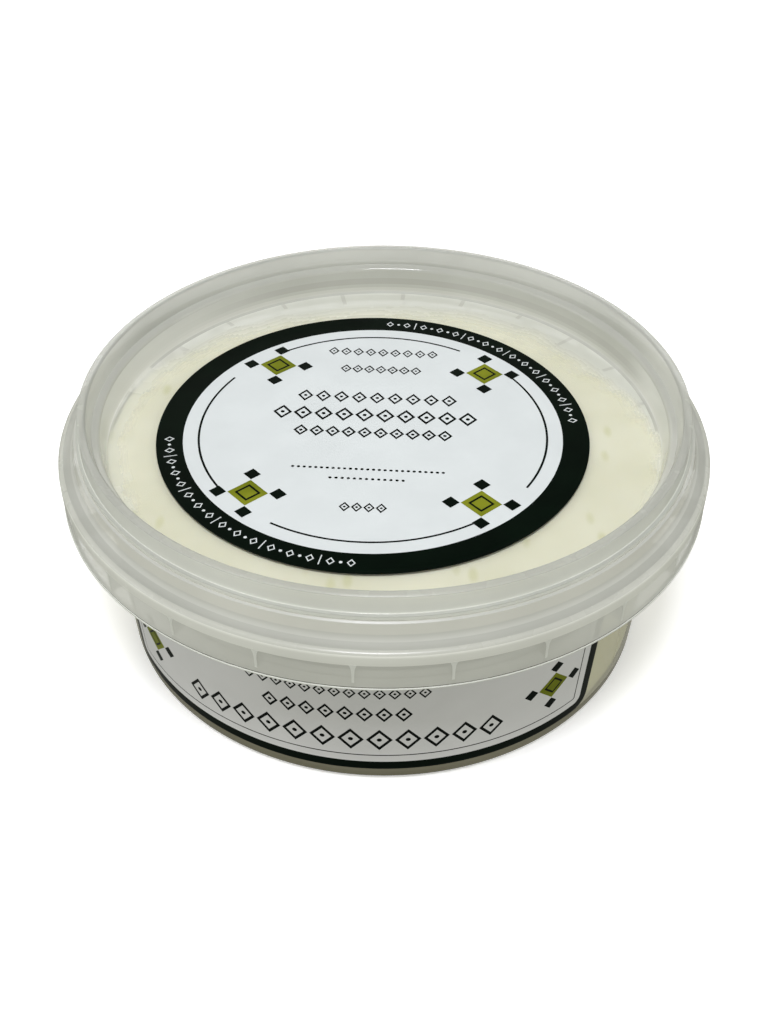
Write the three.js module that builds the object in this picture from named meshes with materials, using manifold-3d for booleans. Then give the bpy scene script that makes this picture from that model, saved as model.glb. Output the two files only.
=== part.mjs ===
// Shut tub of garlic dip: a round translucent tub whose wide collar is stiffened by ribs, a press-on
// lid with a sunk clear panel, the dip that fills the tub, a round label on the panel and a label
// round the wall. Millimetres, +Z up. The axis of the tub is Z and its foot stands on Z = 0.
// Angles run round Z from -Y, the side of the wall label, toward +X.

import * as THREE from 'three';
import { mergeVertices } from 'three/addons/utils/BufferGeometryUtils.js';
import Module from 'manifold-3d';

// Shared
const SIDES = 72; // sides of every round piece, a multiple of the ribs
const CLEARANCE = 0.3; // between pieces that touch
const ARC_STEPS = 4; // straight steps in a rounded corner
const SAME_POINT = 1e-4; // points closer than this are one

// Tub
const TUB_WALL = 0.75;
const BASE_RADIUS = 49.95; // outer radius of the wall, carried down to Z = 0
const WALL_SLOPE = 0.0697; // growth of that radius for each millimetre of height
const FOOT_CORNER = 1.8;
const FOOT_INNER_RADIUS = 44.2;
const FOOT_RECESS = 1.8; // the floor stands this much above the foot ring
const FOOT_CHAMFER = 1.2;

// Collar: the skirt hangs round the wall from a flat ledge
const COLLAR_RADIUS = 59.5;
const COLLAR_BOTTOM = 32.75;
const COLLAR_TOP = 40.6;
const COLLAR_CORNER = 1.1;
const SKIRT_WALL = 0.8;
const LEDGE_UNDERSIDE = 38.1;

// Two rims stand on the ledge: the outer guard rim and the inner sealing rim
const GUARD_FOOT_RADIUS = 56.9;
const GUARD_TOP_RADIUS = 56.2;
const GUARD_TOP = 44.1;
const GUARD_WALL = 0.8;
const GUARD_FILLET = 0.9;
const CHANNEL_FLOOR = 40.3;
const SEAL_TOP = 44.1;
const SEAL_TOP_RADIUS = 52.65; // inner face
const SEAL_WALL = 0.9;

// Ribs between wall and skirt
const RIB_COUNT = 24;
const RIB_PHASE = THREE.MathUtils.degToRad(-4.5);
const RIB_BOTTOM = 34.2;
const RIB_TOP_WIDTH = 1.4;
const RIB_BOTTOM_WIDTH = 0.8;
const RIB_BITE = 0.3; // depth to which a rib runs into its neighbours

// Lid
const LID_WALL = 0.7;
const PANEL_TOP = 39.1;
const PANEL_RADIUS = 50.3;
const PANEL_FILLET = 0.6; // between panel and recess wall
const PLUG_FOOT_RADIUS = 51.0; // edge of the panel's underside
const PLUG_RADIUS = 51.5; // outside of the recess wall, level with the panel's top
const RECESS_TOP_RADIUS = 51.7;
const RECESS_TOP = 44.3;
const SHOULDER_RADIUS = 52.2; // the rounded shoulder between recess and raised rim
const SHOULDER_HEIGHT = 44.85;
const RIM_FOOT_RADIUS = 52.9;
const RIM_FOOT = 45.5;
const RIM_INNER_RADIUS = 53.7;
const RIM_OUTER_RADIUS = 55.0;
const RIM_TOP = 48.6;
const RIM_CHAMFER = 0.3; // between raised rim and lip
const LIP_RADIUS = 56.1;
const LIP_TOP = 45.1;
const LID_SKIRT_BOTTOM = 41.2;
const LID_SKIRT_INNER_RADIUS = 54.2;

// Dip: filled up to the lid, where most of its surface lies flat against the panel
const DIP_LEVEL = PANEL_TOP - LID_WALL - CLEARANCE;
const DIP_CONTACT_RADIUS = 49.3; // the flat part reaches out to here
const DIP_DENT = 5.5; // and this much less far at the dent behind
const DIP_DENT_ANGLE = THREE.MathUtils.degToRad(170);
const DIP_DENT_WIDTH = THREE.MathUtils.degToRad(33);
const DIP_DROP = 1.0; // fall of the surface from there to the wall
const DIP_LEFT_DROP = 1.5; // further fall on the left
const DIP_WAVES = [ // uneven height of the line where it meets the wall
  { count: 7, height: 0.3, phase: 1 },
  { count: 17, height: 0.18, phase: 0 },
];
const DIP_RINGS = [1, 0.985, 0.965, 0.94, 0.91, 0.87, 0.6, 0.3, 0]; // shares of the edge radius

// Labels
const LABEL_THICKNESS = 0.2;
const LID_LABEL_RADIUS = 40;
const LID_LABEL_OFFSET = -2.1; // it sits a little to the left of the axis
const SIDE_LABEL_BOTTOM = 3.2;
const SIDE_LABEL_TOP = 31.6;
const SIDE_LABEL_CENTRE = THREE.MathUtils.degToRad(-9);
const SIDE_LABEL_HALF_ANGLE = THREE.MathUtils.degToRad(56);
const SIDE_LABEL_CORNER = 3;
const SIDE_LABEL_COLUMNS = 52; // flat strips between its two rounded ends
const SIDE_LABEL_CORNER_COLUMNS = 4;

const wasm = await Module();
wasm.setup();

/** Points of an arc in a profile, angles in degrees, 0 pointing away from the axis and 90 up. */
function arc(radius, height, size, from, to, steps = ARC_STEPS) {
  const points = [];
  for (let step = 0; step <= steps; step += 1) {
    const angle = THREE.MathUtils.degToRad(from + ((to - from) * step) / steps);
    points.push([radius + size * Math.cos(angle), height + size * Math.sin(angle)]);
  }
  return points;
}

/** Turns a profile of [radius, height] points about Z. It runs outward below and inward above. */
function turned(profile) {
  const points = profile.map(([radius, height]) => new THREE.Vector2(radius, height));
  return new THREE.LatheGeometry(points, SIDES).rotateX(Math.PI / 2);
}

/** Outer radius of the tub's wall at a height. */
function wallRadius(height) {
  return BASE_RADIUS + WALL_SLOPE * height;
}

function solidOf(geometry) {
  const bare = geometry.clone();
  bare.deleteAttribute('normal');
  bare.deleteAttribute('uv');
  const merged = mergeVertices(bare, SAME_POINT);
  return new wasm.Manifold(new wasm.Mesh({
    numProp: 3,
    vertProperties: new Float32Array(merged.attributes.position.array),
    triVerts: new Uint32Array(merged.index.array),
  }));
}

function geometryOf(solid) {
  const mesh = solid.getMesh();
  const geometry = new THREE.BufferGeometry();
  geometry.setAttribute('position', new THREE.BufferAttribute(mesh.vertProperties, 3));
  geometry.setIndex(new THREE.BufferAttribute(mesh.triVerts, 1));
  geometry.computeVertexNormals();
  return geometry;
}

function movedVertices(geometry, move) {
  const position = geometry.attributes.position;
  const point = new THREE.Vector3();
  for (let index = 0; index < position.count; index += 1) {
    point.fromBufferAttribute(position, index);
    move(point);
    position.setXYZ(index, point.x, point.y, point.z);
  }
  geometry.computeVertexNormals();
  return geometry;
}

/** The foot ring and the outside of the wall, from the axis out and up to the ledge. */
function tubOutside() {
  const cornerRadius = wallRadius(FOOT_CORNER) - FOOT_CORNER;
  return [
    [0, FOOT_RECESS],
    [FOOT_INNER_RADIUS, FOOT_RECESS],
    [FOOT_INNER_RADIUS + FOOT_CHAMFER, 0],
    ...arc(cornerRadius, FOOT_CORNER, FOOT_CORNER, -90, 0),
    [wallRadius(LEDGE_UNDERSIDE), LEDGE_UNDERSIDE],
  ];
}

/** The skirt and the top of the ledge, from the underside of the ledge to the guard rim. */
function collarProfile() {
  const cornerRadius = COLLAR_RADIUS - COLLAR_CORNER;
  const filletRadius = GUARD_FOOT_RADIUS + GUARD_FILLET;
  return [
    [COLLAR_RADIUS - SKIRT_WALL, LEDGE_UNDERSIDE],
    [COLLAR_RADIUS - SKIRT_WALL, COLLAR_BOTTOM],
    [COLLAR_RADIUS, COLLAR_BOTTOM],
    ...arc(cornerRadius, COLLAR_TOP - COLLAR_CORNER, COLLAR_CORNER, 0, 90),
    ...arc(filletRadius, COLLAR_TOP + GUARD_FILLET, GUARD_FILLET, 270, 180, 3),
  ];
}

/** Guard rim, channel and sealing rim, from outside to inside. */
function rimsProfile() {
  return [
    [GUARD_TOP_RADIUS, GUARD_TOP],
    [GUARD_TOP_RADIUS - GUARD_WALL, GUARD_TOP],
    [GUARD_TOP_RADIUS - GUARD_WALL, CHANNEL_FLOOR],
    [SEAL_TOP_RADIUS + SEAL_WALL, CHANNEL_FLOOR],
    [SEAL_TOP_RADIUS + SEAL_WALL, SEAL_TOP],
    [SEAL_TOP_RADIUS, SEAL_TOP],
  ];
}

/** The inside of the tub, down from the sealing rim to the axis. */
function tubInside() {
  const floor = FOOT_RECESS + TUB_WALL;
  const cornerRadius = wallRadius(floor) - TUB_WALL - FOOT_CORNER;
  return [
    [wallRadius(LEDGE_UNDERSIDE) - TUB_WALL, LEDGE_UNDERSIDE],
    ...arc(cornerRadius, floor + FOOT_CORNER, FOOT_CORNER, 0, -90),
    [0, floor],
  ];
}

/** One stiffening rib, wider at its top, from the wall to the skirt. */
function ribGeometry(angle) {
  const inner = wallRadius(RIB_BOTTOM) - RIB_BITE;
  const outer = COLLAR_RADIUS - SKIRT_WALL + RIB_BITE;
  const top = LEDGE_UNDERSIDE + RIB_BITE;
  const height = top - RIB_BOTTOM;
  const box = new THREE.BoxGeometry(outer - inner, 1, height);
  movedVertices(box, (point) => {
    point.y *= point.z > 0 ? RIB_TOP_WIDTH : RIB_BOTTOM_WIDTH;
  });
  box.translate((inner + outer) / 2, 0, RIB_BOTTOM + height / 2);
  return box.rotateZ(angle - Math.PI / 2);
}

function tubGeometry() {
  const profile = [...tubOutside(), ...collarProfile(), ...rimsProfile(), ...tubInside()];
  let solid = solidOf(turned(profile));
  for (let rib = 0; rib < RIB_COUNT; rib += 1) {
    const angle = RIB_PHASE + (rib * 2 * Math.PI) / RIB_COUNT;
    solid = solid.add(solidOf(ribGeometry(angle)));
  }
  return geometryOf(solid);
}

/** Underside of the lid: panel, plug wall, the channel over the sealing rim, skirt and lip. */
function lidUnderside() {
  const plugTopRadius = SEAL_TOP_RADIUS - CLEARANCE;
  const channelTop = SEAL_TOP + CLEARANCE;
  const skirtOuter = GUARD_TOP_RADIUS - GUARD_WALL - CLEARANCE;
  return [
    [0, PANEL_TOP - LID_WALL],
    [PLUG_FOOT_RADIUS, PANEL_TOP - LID_WALL],
    [PLUG_RADIUS, PANEL_TOP],
    [plugTopRadius, channelTop],
    [LID_SKIRT_INNER_RADIUS, channelTop],
    [LID_SKIRT_INNER_RADIUS, LID_SKIRT_BOTTOM],
    [skirtOuter, LID_SKIRT_BOTTOM],
    [skirtOuter, channelTop],
    [LIP_RADIUS, channelTop],
  ];
}

/** Top of the lid: lip, raised rim, shoulder, recess wall and panel. */
function lidTop() {
  const lipRound = (LIP_TOP - SEAL_TOP - CLEARANCE) / 2;
  const rimRound = (RIM_OUTER_RADIUS - RIM_INNER_RADIUS) / 2;
  return [
    ...arc(LIP_RADIUS - lipRound, LIP_TOP - lipRound, lipRound, 0, 90, 3),
    [RIM_OUTER_RADIUS + RIM_CHAMFER, LIP_TOP],
    [RIM_OUTER_RADIUS, LIP_TOP + RIM_CHAMFER],
    ...arc(RIM_OUTER_RADIUS - rimRound, RIM_TOP - rimRound, rimRound, 0, 180, 6),
    [RIM_FOOT_RADIUS, RIM_FOOT],
    [SHOULDER_RADIUS, SHOULDER_HEIGHT],
    [RECESS_TOP_RADIUS, RECESS_TOP],
    ...arc(PANEL_RADIUS, PANEL_TOP + PANEL_FILLET, PANEL_FILLET, -10, -90, 3),
    [0, PANEL_TOP],
  ];
}

function lidGeometry() {
  return turned([...lidUnderside(), ...lidTop()]);
}

/** Radius out to which the dip lies flat against the panel, at an angle. */
function contactRadius(angle) {
  const turn = Math.atan2(Math.sin(angle - DIP_DENT_ANGLE), Math.cos(angle - DIP_DENT_ANGLE));
  return DIP_CONTACT_RADIUS - DIP_DENT * Math.exp(-((turn / DIP_DENT_WIDTH) ** 2));
}

/** How far the dip's uneven surface lies below its level. */
function dipDrop(x, y, edgeRadius) {
  const angle = Math.atan2(x, -y);
  const contact = contactRadius(angle);
  const outward = THREE.MathUtils.smoothstep(Math.hypot(x, y), contact, edgeRadius);
  const waves = DIP_WAVES.map(({ count, height, phase }) => height * Math.sin(count * angle + phase));
  const left = DIP_LEFT_DROP * Math.max(0, -Math.sin(angle));
  return outward * waves.reduce((sum, wave) => sum + wave, DIP_DROP + left);
}

function dipGeometry() {
  const bottom = FOOT_RECESS + TUB_WALL + CLEARANCE;
  const radius = (height) => wallRadius(height) - TUB_WALL - CLEARANCE;
  const edgeRadius = radius(DIP_LEVEL - DIP_DROP);
  const edgeBottom = DIP_LEVEL - 2 * (DIP_DROP + DIP_LEFT_DROP);
  const profile = [
    [0, bottom],
    ...arc(radius(bottom) - FOOT_CORNER, bottom + FOOT_CORNER, FOOT_CORNER, -90, 0),
    [radius(edgeBottom), edgeBottom],
    ...DIP_RINGS.map((share) => [share * edgeRadius, DIP_LEVEL]),
  ];
  return movedVertices(turned(profile), (point) => {
    if (point.z > edgeBottom) {
      point.z -= dipDrop(point.x, point.y, edgeRadius);
    }
  });
}

function lidLabelGeometry() {
  const bottom = PANEL_TOP + CLEARANCE;
  const top = bottom + LABEL_THICKNESS;
  const profile = [[0, bottom], [LID_LABEL_RADIUS, bottom], [LID_LABEL_RADIUS, top], [0, top]];
  return turned(profile);
}

/** Places of the wall label's columns along its length, closer together at the rounded ends. */
function sideLabelColumns(halfLength) {
  const straight = halfLength - SIDE_LABEL_CORNER;
  const end = [];
  for (let step = 1; step <= SIDE_LABEL_CORNER_COLUMNS; step += 1) {
    const turn = (Math.PI / 2) * (step / SIDE_LABEL_CORNER_COLUMNS);
    end.push(straight + SIDE_LABEL_CORNER * Math.sin(turn));
  }
  const columns = end.map((place) => -place).reverse();
  for (let step = 0; step <= SIDE_LABEL_COLUMNS; step += 1) {
    columns.push(straight * ((2 * step) / SIDE_LABEL_COLUMNS - 1));
  }
  return [...columns, ...end];
}

/** How far the label's edges are drawn in at a column by its rounded corners. */
function cornerInset(place, halfLength) {
  const into = Math.max(0, Math.abs(place) - (halfLength - SIDE_LABEL_CORNER));
  const rise = Math.sqrt(Math.max(0, SIDE_LABEL_CORNER ** 2 - into ** 2));
  return SIDE_LABEL_CORNER - rise;
}

/** A thin sheet bent round the wall and following its slope. */
function sideLabelGeometry() {
  const middleRadius = wallRadius((SIDE_LABEL_BOTTOM + SIDE_LABEL_TOP) / 2);
  const halfLength = SIDE_LABEL_HALF_ANGLE * middleRadius;
  const columns = sideLabelColumns(halfLength);
  const strips = columns.length - 1;
  const sheet = new THREE.BoxGeometry(1, 1, 1, strips, 1, 1);
  return movedVertices(sheet, (point) => {
    const place = columns[Math.round((point.x + 0.5) * strips)];
    const inset = cornerInset(place, halfLength);
    const height = point.z > 0 ? SIDE_LABEL_TOP - inset : SIDE_LABEL_BOTTOM + inset;
    const lift = CLEARANCE + (point.y < 0 ? LABEL_THICKNESS : 0);
    const radius = wallRadius(height) + lift;
    const angle = SIDE_LABEL_CENTRE + place / middleRadius;
    point.set(radius * Math.sin(angle), -radius * Math.cos(angle), height);
  });
}

function piece(name, geometry, colour, roughness) {
  const material = new THREE.MeshStandardMaterial({ color: colour, roughness, metalness: 0 });
  const mesh = new THREE.Mesh(geometry, material);
  mesh.name = name;
  return mesh;
}

const tub = piece('tub', tubGeometry(), 0xc4c6bc, 0.3);
const lid = piece('lid', lidGeometry(), 0xcdcfc6, 0.25);
const dip = piece('dip', dipGeometry(), 0xe2e1c8, 0.7);
const lidLabel = piece('lid_label', lidLabelGeometry(), 0x17261c, 0.35);
const sideLabel = piece('side_label', sideLabelGeometry(), 0xb4b6b2, 0.4);
lidLabel.position.x = LID_LABEL_OFFSET;

const dipTub = new THREE.Group();
dipTub.add(tub, lid, dip, lidLabel, sideLabel);

export default dipTub;
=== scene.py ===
"""Looks of a shut tub of garlic dip: translucent tub and lid, the dip inside, two printed labels.

Lengths are written in millimetres and turned into metres where meshes are made. Angles run round Z
from -Y, where the camera stands, toward +X.
"""
import math

import bpy
import numpy as np
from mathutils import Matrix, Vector, noise


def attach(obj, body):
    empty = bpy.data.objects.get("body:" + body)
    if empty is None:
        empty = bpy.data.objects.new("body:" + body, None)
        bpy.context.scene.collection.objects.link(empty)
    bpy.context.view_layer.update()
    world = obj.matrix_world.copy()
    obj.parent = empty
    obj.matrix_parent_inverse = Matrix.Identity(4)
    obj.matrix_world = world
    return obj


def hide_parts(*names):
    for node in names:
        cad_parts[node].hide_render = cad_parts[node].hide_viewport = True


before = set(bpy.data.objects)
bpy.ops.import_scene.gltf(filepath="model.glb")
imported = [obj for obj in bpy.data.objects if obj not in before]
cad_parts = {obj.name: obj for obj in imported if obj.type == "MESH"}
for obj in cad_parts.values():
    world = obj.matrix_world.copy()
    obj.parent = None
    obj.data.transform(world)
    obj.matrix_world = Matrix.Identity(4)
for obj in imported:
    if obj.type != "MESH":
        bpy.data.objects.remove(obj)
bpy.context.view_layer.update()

MM = 0.001

# Camera, fitted to the round edges of the tub in the photograph
CAMERA_DISTANCE = 259.3
CAMERA_ELEVATION = math.radians(39.27)
CAMERA_TARGET_HEIGHT = 19.8
CAMERA_ROLL = math.radians(0.26)
CAMERA_LENS = 46.69
CAMERA_SENSOR = 36

# Lamps: place and width in metres, power, colour. All are square and aim at the middle of the tub.
LAMPS = {
    "key": ((-0.03, -0.34, 0.84), 0.22, 4.65, (1, 1, 1.06)),
    "fill": ((0.3, -1.3, 0.5), 0.9, 1.4, (1, 0.98, 0.9)),
    "back": ((-0.2, 1.3, 0.32), 0.8, 2.6, (1, 0.98, 0.9)),
    "glint": ((-0.43, -0.17, 0.79), 0.1, 0.3, (1, 1, 1)),
    "left": ((-1.2, -0.25, 0.42), 0.8, 4.1, (1, 1, 1)),
    "right": ((1.2, -0.25, 0.42), 0.8, 3.0, (1, 1, 1)),
}
LAMP_AIM = (0, 0, 0.03)
# Studio walls: how bright they are from straight below, -1, to straight above, 1
WORLD_TINT = (0.99, 1.0, 0.9)
WORLD_STOPS = ((-1.0, 0.3), (-0.15, 0.4), (0.05, 0.62), (0.45, 0.5), (0.8, 0.25), (1.0, 0.25))

# Floor of the stage, from its middle to its edge
FLOOR_REACH = 4000

# Round pieces
SIDES = 240
FILLET_STEPS = 6
SHARP_ANGLE = math.radians(35)
ON_AXIS = 1e-6

# Roundings of corners that have no value of their own
CRISP_ROUND = 0.08
FINE_ROUND = 0.1
EDGE_ROUND = 0.2
CORNER_ROUND = 0.3
WALL_ROUND = 0.5

# Tub
BASE_RADIUS = 49.95
WALL_SLOPE = 0.0697
TUB_WALL = 0.75
FOOT_RECESS = 1.8
FOOT_INNER_RADIUS = 44.2
FOOT_CHAMFER = 1.2
FOOT_CORNER = 1.8
FOOT_RECESS_ROUND = 0.6
FLOOR_ROUND = 1.6
COLLAR_RADIUS = 59.5
COLLAR_BOTTOM = 32.75
COLLAR_TOP = 40.6
COLLAR_CORNER = 0.95
SKIRT_WALL = 0.8
SKIRT_RADIUS = 59.32
BEAD_HEIGHT = 0.25
BEAD_FACET = 0.07
BEAD_TOP = COLLAR_BOTTOM + BEAD_HEIGHT + BEAD_FACET
# Height of the band above the bead that is painted dark, painted shade standing in for the dark line
# along the skirt's edge
EDGE_SHADE_BAND = 0.22
LEDGE_UNDERSIDE = 38.1
GUARD_FOOT_RADIUS = 56.9
GUARD_TOP_RADIUS = 56.2
GUARD_TOP = 44.1
GUARD_WALL = 0.8
GUARD_FILLET = 1.75
GUARD_FOOT_TOP = 42.1
GUARD_BEVEL = 0.34
GUARD_BEVEL_DROP = 0.65 * GUARD_BEVEL
GUARD_PROUD = 0.05
CHANNEL_FLOOR = 40.3
SEAL_TOP = 44.1
SEAL_TOP_RADIUS = 52.65
SEAL_WALL = 0.9
SEAL_ROUND = 3.0

# Ribs under the ledge
RIB_COUNT = 24
RIB_PHASE = math.radians(-4.5)
RIB_BOTTOM = 34.2
RIB_WIDTH = 0.45
# At its top a rib is wider by this much, a gain that dies out over the flare's height
RIB_FLARE = 1.6
RIB_FLARE_WIDTH = 0.8
RIB_FLARE_FALL = 2.5
RIB_PROUD = 0.02
RIB_BITE = 0.1
RIB_LOWER_LEVELS = 4
RIB_FLARE_LEVELS = 7

# Lid
LID_WALL = 0.7
PANEL_TOP = 39.38
PANEL_RADIUS = 50.9
PANEL_FILLET = 0.8
PANEL_UNDER_ROUND = 0.7
RECESS_TOP_RADIUS = 51.65
RECESS_TOP = 44.6
RECESS_ROUND = 0.85
RIM_FOOT_RADIUS = 52.9
RIM_FOOT = 45.05
RIM_FOOT_ROUND = 0.12
RIM_INNER_RADIUS = 53.7
RIM_OUTER_RADIUS = 55.15
RIM_EDGE = 48.35
CROWN_RADIUS = 54.75
RIM_TOP = 48.6
RIM_ROUND = 0.5
RIM_SLOPE = 0.05
BRIM_HEIGHT = 46.8
LIP_RADIUS = 55.75
LIP_TOP = 44.95
LIP_RISE = 0.15
LIP_GAP = 0.03
LID_SIDES = 360
LID_SKIRT_BOTTOM = 41.2
LID_SKIRT_INNER_RADIUS = 54.2
LID_SKIRT_ROUND = 0.25
CLEARANCE = 0.3

# Dip: pressed flat against the panel inside an uneven line, dented at the back
DIP_INTO_WALL = 0.15
DIP_TOP = PANEL_TOP - LID_WALL + 0.1
DIP_CONTACT_RADIUS = 50.2
# Where the contact reaches further out or less far: angle, width, reach
DIP_REACHES = (
    (math.radians(76), math.radians(28), 1.3),
    (math.radians(118), math.radians(22), -3.8),
    (math.radians(182), math.radians(45), -5.6),
    (math.radians(250), math.radians(40), -1.2),
)
DIP_DENT_ANGLE = math.radians(182)
DIP_DENT_WIDTH = math.radians(45)
DIP_DROP = 0.9
DIP_LEFT_DROP = 0.6
DIP_BACK_DROP = 4.2
DIP_LAP = 1.5
# Raggedness of the line of contact: depth, fineness, seed
DIP_RAGGED = ((0.7, 6, 0), (0.05, 26, 5))
DIP_UNEVEN = 0.35
DIP_UNEVEN_PER_MM = 0.35
DIP_UNEVEN_SEED = 2
DIP_FLOOR_ROUND = 1.5
DIP_MARGIN = 1
# Rings of its top: their number from the edge in to a radius, and from there to the middle
DIP_EDGE_RINGS = 60
DIP_FLAT_RADIUS = 42.5
DIP_FLAT_RINGS = 22

# Where the plastics below meet on the tub: slope that parts the rounded edge of the ledge, how far
# up the ledge's top reaches, how far out the guard's foot starts, how far down its bevel reaches
LEDGE_EDGE_SLOPE = 0.6
LEDGE_TOP_REACH = 0.3
GUARD_FOOT_OUT = 0.2
GUARD_BEVEL_ZONE = 0.7 * GUARD_BEVEL
# And on the lid: how far up and out the panel reaches, how far below its top the recess ends, how
# far the rim's inside reaches out, its crown down, and the lip down and up
PANEL_REACH_UP = PANEL_FILLET / 3
PANEL_REACH_OUT = 0.1
RECESS_END = 0.8
RIM_INNER_REACH = 0.3
CROWN_REACH = 0.1
LIP_REACHES = (0.2, 0.1)

# Plastics: darker and lighter tone, opacity of one face, roughness
PLASTICS = {
    "collar_plastic": ((213, 213, 203), (219, 219, 209), 0.75, 0.14),
    # Painted shade: the guard's bevel and foot and the ledge's top and rounded edge have copies of the
    # collar's plastic set darker where the lamps light them most
    "guard_edge_shaded_plastic": ((192, 193, 186), (197, 198, 191), 0.85, 0.34),
    "guard_foot_shaded_plastic": ((186, 187, 179), (191, 192, 184), 0.88, 0.6),
    "ledge_top_shaded_plastic": ((168, 169, 161), (173, 174, 166), 0.92, 0.6),
    "ledge_edge_shaded_plastic": ((188, 189, 180), (193, 194, 185), 0.92, 0.26),
    "ledge_plastic": ((215, 216, 207), (221, 222, 213), 0.92, 0.2),
    # The skirt turns lighter toward the sides, painted light given below
    "skirt_side_lit_plastic": ((207, 208, 199), (215, 216, 207), 0.64, 0.15),
    "rib_plastic": ((220, 222, 214), (226, 228, 220), 0.82, 0.25),
    # The bead's facet catches real light, but its nearly opaque tone, lighter than the skirt's, is
    # painted light along the skirt's edge. The dark band above it is painted shade
    "bead_lit_plastic": ((204, 206, 198), (210, 212, 204), 0.95, 0.3),
    "edge_shade_line_plastic": ((112, 112, 103), (122, 122, 113), 0.9, 0.2),
    "wall_plastic": ((229, 225, 197), (236, 232, 205), 0.5, 0.16),
    # Painted shade: the wall below the label has a darker copy of its plastic, standing in for the shade
    # near the floor
    "foot_plastic": ((118, 114, 91), (128, 124, 101), 0.85, 0.2),
    # Painted light and shade on the lid's rim: its outer wall has a lighter copy of the plastic,
    # standing in for light scattered through it, and its lip, inside, brim and crown have darker copies.
    # The inside turns lighter toward the sides
    "lid_rim_lit_plastic": ((234, 236, 227), (240, 242, 233), 0.66, 0.14),
    "lid_lip_shaded_plastic": ((184, 186, 178), (190, 192, 184), 0.78, 0.5),
    "lid_inner_shade_plastic": ((184, 185, 177), (190, 191, 183), 0.74, 0.2),
    "lid_brim_shaded_plastic": ((164, 165, 158), (170, 171, 164), 0.85, 0.35),
    "lid_crown_shaded_plastic": ((194, 195, 187), (201, 202, 194), 0.62, 0.26),
    # Painted light and shade: the recess wall in bands, lighter toward the panel, and lighter still
    # toward the sides
    "lid_recess_low_shade_plastic": ((229, 230, 221), (235, 236, 228), 0.55, 0.14),
    "lid_recess_mid_shade_plastic": ((212, 213, 204), (218, 219, 211), 0.55, 0.14),
    "lid_recess_shade_plastic": ((199, 200, 191), (205, 206, 198), 0.55, 0.14),
    "lid_recess_high_shade_plastic": ((209, 210, 201), (215, 216, 208), 0.55, 0.14),
    "lid_foot_plastic": ((190, 191, 183), (196, 197, 189), 0.72, 0.08),
    # Painted shade: a darker edge of the panel and darker marks over the tub's ribs
    "lid_panel_edge_shaded_plastic": ((198, 199, 191), (203, 204, 196), 0.62, 0.4),
    "lid_rib_shade_mark_plastic": ((205, 206, 197), (211, 212, 203), 0.78, 0.3),
}
# Painted light: a lighter tone that a plastic drifts to at the left and right sides of the tub, standing
# in for the light that reaches it there, and where the drift starts and ends left and right
WIDE_DRIFT, INNER_DRIFT, EDGE_DRIFT = (20, 54), (46, 54), (47, 51)
SIDE_LIGHT_TONES = {
    "skirt_side_lit_plastic": ((246, 247, 240), WIDE_DRIFT, WIDE_DRIFT),
    "lid_inner_shade_plastic": ((216, 217, 210), INNER_DRIFT, INNER_DRIFT),
    "lid_recess_low_shade_plastic": ((248, 249, 243), WIDE_DRIFT, EDGE_DRIFT),
    "lid_recess_mid_shade_plastic": ((246, 247, 241), WIDE_DRIFT, EDGE_DRIFT),
    "lid_recess_shade_plastic": ((244, 245, 239), WIDE_DRIFT, EDGE_DRIFT),
    "lid_recess_high_shade_plastic": ((244, 245, 239), WIDE_DRIFT, EDGE_DRIFT),
}
# Heights above the panel up to which the wall of the recess has each of its lower plastics: bands of
# painted light and shade, lightest by the panel and darker above
RECESS_SHADE_BANDS = (
    (1.2, "lid_recess_low_shade_plastic"),
    (1.9, "lid_recess_mid_shade_plastic"),
    (3.2, "lid_recess_shade_plastic"),
)
# The panel is clear over the dip and grows hazy across the line of contact, in these steps. Their pale
# tones are partly painted light, standing in for light let through the tub's wall onto the falling dip.
# The last one starts at a distance outside the line, and patches move the steps in and out.
PANEL_LIT_HAZE = (
    ((236, 238, 231), (241, 243, 236), 0.05, 0.12),
    ((248, 248, 238), (252, 252, 244), 0.1, 0.14),
    ((248, 248, 238), (252, 252, 244), 0.18, 0.17),
    ((247, 247, 237), (252, 252, 243), 0.28, 0.2),
    ((245, 246, 235), (250, 251, 241), 0.4, 0.23),
    ((241, 242, 231), (247, 248, 238), 0.52, 0.26),
    ((232, 233, 223), (240, 241, 232), 0.64, 0.28),
    ((225, 227, 217), (235, 237, 228), 0.74, 0.3),
    ((220, 222, 213), (232, 234, 225), 0.8, 0.3),
)
PANEL_HAZE_STEP = 0.42
PANEL_HAZE_END = 1.46
# Toward the back the steps widen: by how many times their width, at which angle, how wide
PANEL_SOFT = (2.6, math.radians(180), math.radians(62))
PANEL_PATCH = 1.2
PANEL_PATCHES_PER_MM = 0.28
PANEL_PATCH_SEED = 9
# Toward the left the haze and its painted light stay thin: how many steps short, at which angle, how
# wide
PANEL_THIN = (4.0, math.radians(-87), math.radians(32))
# From this step on the panel is nearly opaque: it has a darker edge of its own, painted shade in the
# crease, and shows the ribs below as darker marks, painted shade, whose marks start at a step that
# wanders
HAZE_OPAQUE = 6
PANEL_EDGE = 50.35
RIB_MARK_FROM = 6.5
RIB_MARK_WANDER = 6
RIB_MARK_WANDER_PER_MM = 0.1
RIB_MARK_SEED = 1
# Rings that the panel is cut into: where they start, how many
PANEL_RINGS_FROM = 38.3
PANEL_RINGS = 37

# Labels: a print is made of thin layers, and the lid label has room for some below its top
LABEL_THICKNESS = 0.2
LAYER = 0.012
LID_LABEL_LAYERS = 5
FILM = 0.06
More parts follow.
